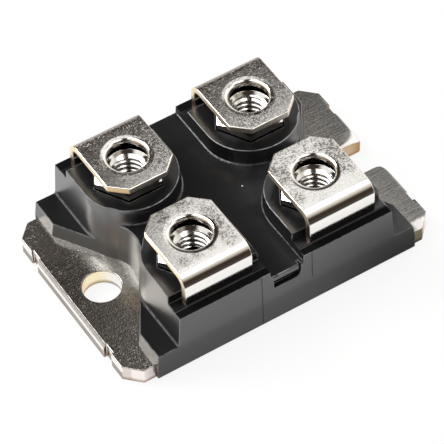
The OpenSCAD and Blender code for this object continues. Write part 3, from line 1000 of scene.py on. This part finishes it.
@dataclass
class Nuts:
    """Four hexagon nuts with a real internal thread."""

    node: str = "terminal_nuts"
    pitch: float = 0.7
    major_r: float = 2.03
    minor_r: float = 1.65
    shell_r: float = 3.2
    rim_r: float = 4.5
    mouth_r: float = 2.45
    mouth_knee: float = 0.35
    mouth_slope: float = 1.732
    phases: tuple[float, ...] = (0.24, 0.34, 0.32, 0.05)
    fine: int = 4
    seat: float = 7.0
    height: float = 3.2
    turns: int = 7
    steps: int = 64

    def _thread(self, bm: bmesh.types.BMesh, centre: Vector, phase: float) -> None:
        """Spin one thread surface about a screw axis and trim it to the nut.

        Args:
            bm: Mesh that takes the thread.
            centre: Point of the axis at the nut's seat, in millimetres.
            phase: Lift of the thread, as the nut happens to be turned, in millimetres.
        """
        thread = bmesh.new()
        flat = self.pitch / 6
        flank = (self.pitch - flat - flat) / 2
        low = self.seat - self.pitch * 1.5 + phase
        corners = [(self.major_r, 0.0), (self.major_r, flat), (self.minor_r, flat + flank),
                   (self.minor_r, flat + flank + flat), (self.major_r, self.pitch)]
        rungs = [
            (r0 + (r1 - r0) * i / self.fine, h0 + (h1 - h0) * i / self.fine)
            for (r0, h0), (r1, h1) in zip(corners, corners[1:]) for i in range(self.fine)
        ]
        line = [
            thread.verts.new(centre + Vector((radius, 0.0, low - centre.z + turn * self.pitch + rise)))
            for turn in range(self.turns) for radius, rise in rungs
        ]
        edges = [thread.edges.new(pair) for pair in zip(line, line[1:])]
        bmesh.ops.spin(
            thread, geom=line + edges, cent=centre, axis=(0.0, 0.0, 1.0), angle=math.tau, steps=self.steps,
            dvec=(0.0, 0.0, self.pitch / self.steps), use_merge=False, use_duplicate=False,
        )
        bmesh.ops.remove_doubles(thread, verts=thread.verts[:], dist=1e-4)
        for level, normal in ((self.seat, -1.0), (self.seat + self.height, 1.0)):
            bmesh.ops.bisect_plane(
                thread, geom=thread.verts[:] + thread.edges[:] + thread.faces[:], dist=1e-5,
                plane_co=(0.0, 0.0, level), plane_no=(0.0, 0.0, normal), clear_outer=True,
            )
        for vert in thread.verts:
            mouth = min(vert.co.z - self.seat, self.seat + self.height - vert.co.z)
            offset = (vert.co - centre).xy
            least = self.mouth_r - min(mouth, self.mouth_knee) - self.mouth_slope * max(0.0, mouth - self.mouth_knee)
            if offset.length < least:
                vert.co.xy = centre.xy + offset.normalized() * least
            vert.co *= MM
        made = bpy.data.meshes.new("thread")
        thread.to_mesh(made)
        thread.free()
        bm.from_mesh(made)
        bpy.data.meshes.remove(made)

    def build(self) -> bpy.types.Object:
        """Outer shells of the nuts, closed onto their threads.

        Returns:
            The finished object.
        """
        work = Workpiece(self.node)
        axes = [Vector((sx * SCREW_X, sy * SCREW_Y, self.seat)) for sx in (-1, 1) for sy in (-1, 1)]
        inner = [
            face for face in work.bm.faces
            if min((vert.co.xy / MM - axis.xy).length for vert in face.verts for axis in axes) < self.shell_r
        ]
        bmesh.ops.delete(work.bm, geom=inner, context="FACES")
        for axis, phase in zip(axes, self.phases):
            self._thread(work.bm, axis, phase)
        for axis in axes:
            for level in (self.seat, self.seat + self.height):
                rim = [
                    edge for edge in work.bm.edges
                    if edge.is_boundary and all(
                        abs(vert.co.z / MM - level) < 0.01 and (vert.co.xy / MM - axis.xy).length < self.rim_r
                        for vert in edge.verts
                    )
                ]
                bmesh.ops.bridge_loops(work.bm, edges=rim)
        bmesh.ops.recalc_face_normals(work.bm, faces=work.bm.faces[:])
        return work.finish("nuts", Slot.NUT, 30.0)


@dataclass
class Inside:
    """Pieces that stay sealed inside: their CAD solids with proper finishes."""

    groups: tuple[tuple[Slot, tuple[str, ...]], ...] = (
        (Slot.SOLDER, ("base_solder", "die_solder_1", "die_solder_2", "terminal_solder")),
        (Slot.COPPER, ("substrate_bottom_copper", "cathode_pad_1", "anode_pad_1", "cathode_pad_2", "anode_pad_2")),
        (Slot.CERAMIC, ("ceramic_substrate",)),
        (Slot.SILICON, ("schottky_die_1", "schottky_die_2")),
        (Slot.WIRE, ("bond_wires_1", "bond_wires_2")),
    )

    def dress(self) -> Iterator[bpy.types.Object]:
        """Give each sealed piece its finish.

        Returns:
            The dressed pieces, one by one.
        """
        for slot, nodes in self.groups:
            for piece in (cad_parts[node] for node in nodes):
                piece.data.materials.clear()
                piece.data.materials.append(slot.finish.material())
                yield piece


@dataclass
class Studio:
    """Camera, floor, lamps and surroundings."""

    azimuth: float = -29.6884
    elevation: float = 49.6554
    roll: float = -3.2369
    distance: float = 0.320
    lens: float = 242.943
    aim_right: float = -0.272
    aim_up: float = 1.631
    floor_size: float = 1.5
    floor_tone: Colour = (0.88, 0.88, 0.88)
    white: Colour = (1.0, 1.0, 1.0)
    black: Colour = (0.0, 0.0, 0.0)
    dark_floor: Colour = (0.066, 0.053, 0.045)
    room: Colour = (0.045, 0.032, 0.024)
    backdrop: Colour = (0.44, 0.415, 0.40)
    tan: Colour = (0.42, 0.37, 0.31)
    cream: Colour = (1.0, 0.96, 0.90)
    card: Colour = (1.2, 1.18, 1.15)
    ceiling: float = 0.42
    boxes: tuple[tuple[str, float, float, tuple[float, float], float], ...] = (
        ("left overhead box", -0.20, -0.06, (0.32, 0.42), 0.84),
        ("right overhead box", 0.17, -0.06, (0.14, 0.42), 0.37),
        ("gap card", 0.03, 0.195, (0.16, 0.25), 0.12),
    )

    def camera(self) -> None:
        """Place the camera at the photograph's viewing angle."""
        az, el, roll = (math.radians(v) for v in (self.azimuth, self.elevation, self.roll))
        back = Vector((math.sin(az) * math.cos(el), -math.cos(az) * math.cos(el), math.sin(el)))
        right = Vector((math.cos(az), math.sin(az), 0.0))
        up = back.cross(right)
        right, up = math.cos(roll) * right + math.sin(roll) * up, math.cos(roll) * up - math.sin(roll) * right
        eye = back * self.distance
        aim = (right * self.aim_right + up * self.aim_up) * MM
        back = (eye - aim).normalized()
        right = up.cross(back).normalized()
        up = back.cross(right)
        data = bpy.data.cameras.new("camera")
        data.lens = self.lens
        data.clip_start, data.clip_end = 0.01, 20.0
        camera = bpy.data.objects.new("camera", data)
        turn = Matrix((right, up, back)).transposed().to_4x4()
        camera.matrix_world = Matrix.Translation(eye) @ turn
        bpy.context.scene.collection.objects.link(camera)
        bpy.context.scene.camera = camera

    def lamp(
        self, name: str, place: Place, target: Place, size: tuple[float, float], watts: float, turn: float = 0.0
    ) -> None:
        """Add a soft box.

        Args:
            name: Name of the lamp.
            place: Where it stands, in metres.
            target: Where it points, in metres.
            size: Width and height, in metres.
            watts: Power.
            turn: Turn about its own axis, in degrees.
        """
        data = bpy.data.lights.new(name, "AREA")
        data.shape = "RECTANGLE"
        data.size, data.size_y = size
        data.energy = watts
        lamp = bpy.data.objects.new(name, data)
        lamp.location = place
        aim = (Vector(target) - Vector(place)).to_track_quat("-Z", "Y")
        lamp.rotation_euler = (aim @ Quaternion((0.0, 0.0, 1.0), math.radians(turn))).to_euler()
        bpy.context.scene.collection.objects.link(lamp)

    def floor(self) -> None:
        """Pale floor that shows white to the camera and keeps a soft shadow; to reflections it is dark in front and
        carries a painted shadow near the part's foot.
        """
        bm = bmesh.new()
        bmesh.ops.create_grid(bm, x_segments=1, y_segments=1, size=self.floor_size)
        mesh = bpy.data.meshes.new("floor")
        bm.to_mesh(mesh)
        bm.free()
        material = bpy.data.materials.new("pale floor")
        material.use_nodes = True
        graph = Graph(material.node_tree)
        camera, glossy, through = (
            graph.node("LightPath", output=f"Is {kind} Ray") for kind in ("Camera", "Glossy", "Transmission")
        )
        x, y, _ = graph.parts(graph.place())
        far = glossy * ~y.past(-42.0, -31.0)
        share = (camera * 0.86 + glossy * 0.85 + far * 0.15 + through * 0.86).at_most(1.0)
        matt = graph.node("BsdfDiffuse", None, {"Color": self.floor_tone})
        # painted shadow near the part's foot, seen only in reflections
        foot = 0.40 * y.past(-19.0, -12.8) + 0.45 * x.past(0.0, 16.0) * y.past(-19.5, -16.0)
        foot = foot * ~y.past(-12.2, -11.2) * x.past(-17.5, -16.0)
        tone = graph.layers(self.white, (glossy * foot, self.black), (far, self.dark_floor))
        glow = graph.node("Emission", None, {"Color": tone})
        mixed = graph.node("MixShader", None, {0: share, 1: matt, 2: glow})
        graph.node("OutputMaterial", None, {"Surface": mixed})
        mesh.materials.append(material)
        floor = bpy.data.objects.new("floor", mesh)
        bpy.context.scene.collection.objects.link(floor)

    def surroundings(self) -> None:
        """White to the camera; to the metal, a pale backdrop low down and a dim room above."""
        world = bpy.data.worlds.new("studio")
        bpy.context.scene.world = world
        world.use_nodes = True
        graph = Graph(world.node_tree)
        x, y, z = graph.parts(graph.node("TexCoord", output="Generated"))
        camera = graph.node("LightPath", output="Is Camera Ray")
        backdrop = y.rise(-0.2, 0.3) * ~(z - 0.5 * x.at_least(0.0)).rise(0.08, 0.50)
        front = ~y.rise(-0.25, 0.05) * x.rise(-0.1, 0.2)
        right = x.rise(0.45, 0.7) * z.rise(0.02, 0.2) * ~z.rise(0.72, 0.9)
        left = (-x).rise(0.6, 0.78) * z.rise(0.15, 0.3)
        seen = graph.layers(
            self.room,
            (backdrop, self.backdrop),
            (front * z.rise(0.38, 0.64), self.tan),
            (front * z.rise(0.52, 0.90), self.cream),
            (right.at_least(left), self.card),
            (camera, self.white),
        )
        light = graph.node("Background", None, {"Color": seen})
        graph.node("OutputWorld", None, {"Surface": light})

    def overhead(self) -> None:
        """Two soft boxes overhead, with a gap between them near the camera's own plane, and a card behind it."""
        az = math.radians(self.azimuth)
        right = Vector((math.cos(az), math.sin(az), 0.0))
        away = Vector((-math.sin(az), math.cos(az), 0.0))
        for name, across, back, size, watts in self.boxes:
            place = across * right + back * away
            self.lamp(name, (*place.xy, self.ceiling), (*place.xy, 0.0), size, watts, self.azimuth)

    def build(self) -> None:
        """Set the whole stage."""
        self.camera()
        self.floor()
        self.surroundings()
        self.overhead()
        self.lamp("back card", (0.333, 0.225, self.ceiling), (0.333, 0.225, 0.0), (0.365, 0.20), 0.22)
        self.lamp("left soft box", (-0.246, 0.309, 0.384), (0.0, 0.0, 0.0), (0.27, 0.27), 1.9)
        bpy.context.scene.view_settings.view_transform = "Standard"


def main() -> None:
    """Build the stage and every piece, in order, and report each piece."""
    logging.basicConfig(level=logging.INFO, format="%(name)s: %(message)s")
    Studio().build()
    shown = (Base(), Housing(), *map(Terminal, (1, 2, 3, 4)), Nuts())
    for pieces in ((assembly.build() for assembly in shown), Inside().dress()):
        for piece in pieces:
            LOG.info("%s: %d faces in %s", piece.name, len(piece.data.polygons), piece.data.materials[0].name)


if __name__ == "__main__":
    main()
